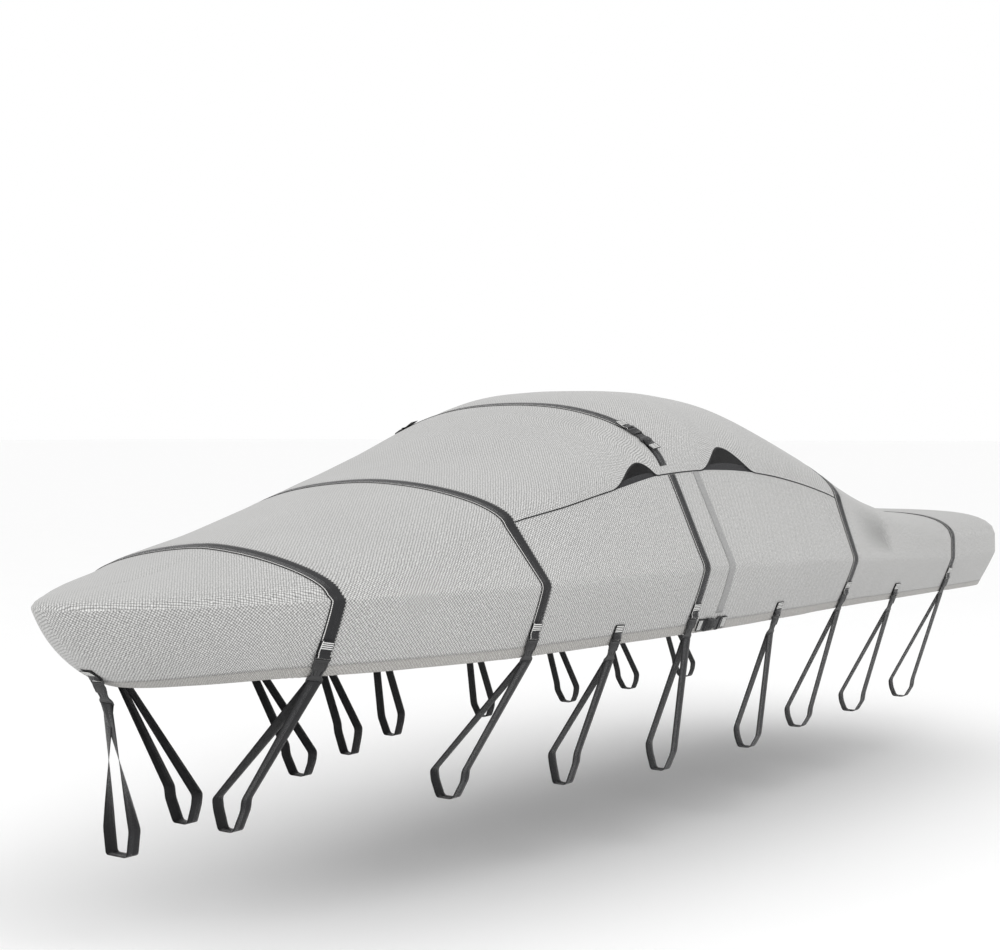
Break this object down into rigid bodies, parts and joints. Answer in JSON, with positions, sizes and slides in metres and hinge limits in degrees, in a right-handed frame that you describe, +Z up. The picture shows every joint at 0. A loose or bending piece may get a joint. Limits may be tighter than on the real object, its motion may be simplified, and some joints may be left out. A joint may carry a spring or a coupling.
{
  "type": "boat cover",
  "caption": "Fitted grey cloth cover with a pointed bow and a raised middle, arched side openings, black webbing straps over it, plastic buckles and webbing loops that hang below the hem",
  "frame": {"origin": "on the centre plane, just under the cloth at the highest part of the raised middle, where what it is fitted over holds it up", "axes": "X runs along the cover with the pointed bow at -X, Y runs across it with port at -Y, Z is up"},
  "size_m": [7.295, 2.3286, 1.933],
  "materials": {
    "cover_cloth": "light grey woven polyester, matt",
    "strip_cloth": "grey woven polyester, doubled and sewn down",
    "black_webbing": "black woven webbing with white stitch lines",
    "black_facing": "black cloth facing, matt",
    "buckle_plastic": "black moulded plastic, satin"
  },
  "bodies": {
    "root": {"cover_body": "cover_cloth", "top_panel": "cover_cloth", "seam_strip": "strip_cloth", "facing_port": "black_facing", "facing_starboard": "black_facing", "bow_strap": "black_webbing", "fore_strap": "black_webbing", "aft_strap": "black_webbing", "stern_strap": "black_webbing", "top_strap": "black_webbing", "side_strap_port": "black_webbing", "side_strap_starboard": "black_webbing", "top_tab_port": "black_webbing", "top_tab_starboard": "black_webbing", "fore_tab_port": "black_webbing", "fore_tab_starboard": "black_webbing", "middle_tab_port": "black_webbing", "middle_tab_starboard": "black_webbing", "aft_tab_port": "black_webbing", "aft_tab_starboard": "black_webbing", "stem_tab": "black_webbing", "hem_tab_fore": "black_webbing", "hem_tab_aft": "black_webbing", "bow_strap_loop_port": "black_webbing", "bow_strap_loop_starboard": "black_webbing", "fore_strap_loop_port": "black_webbing", "fore_strap_loop_starboard": "black_webbing", "fore_tab_loop_port": "black_webbing", "fore_tab_loop_starboard": "black_webbing", "side_strap_loop_port": "black_webbing", "side_strap_loop_starboard": "black_webbing", "middle_tab_loop_port": "black_webbing", "middle_tab_loop_starboard": "black_webbing", "aft_strap_loop_port": "black_webbing", "aft_strap_loop_starboard": "black_webbing", "aft_tab_loop_port": "black_webbing", "aft_tab_loop_starboard": "black_webbing", "stern_strap_loop_port": "black_webbing", "stern_strap_loop_starboard": "black_webbing", "stem_loop": "black_webbing", "bow_strap_buckle_port": "buckle_plastic", "bow_strap_buckle_starboard": "buckle_plastic", "fore_strap_buckle_port": "buckle_plastic", "fore_strap_buckle_starboard": "buckle_plastic", "fore_tab_buckle_port": "buckle_plastic", "fore_tab_buckle_starboard": "buckle_plastic", "side_strap_buckle_port": "buckle_plastic", "side_strap_buckle_starboard": "buckle_plastic", "middle_tab_buckle_port": "buckle_plastic", "middle_tab_buckle_starboard": "buckle_plastic", "aft_strap_buckle_port": "buckle_plastic", "aft_strap_buckle_starboard": "buckle_plastic", "aft_tab_buckle_port": "buckle_plastic", "aft_tab_buckle_starboard": "buckle_plastic", "stern_strap_buckle_port": "buckle_plastic", "stern_strap_buckle_starboard": "buckle_plastic", "top_strap_buckle_port": "buckle_plastic", "top_strap_buckle_starboard": "buckle_plastic", "stem_buckle": "buckle_plastic", "hem_buckle": "buckle_plastic"}
  },
  "joints": []
}
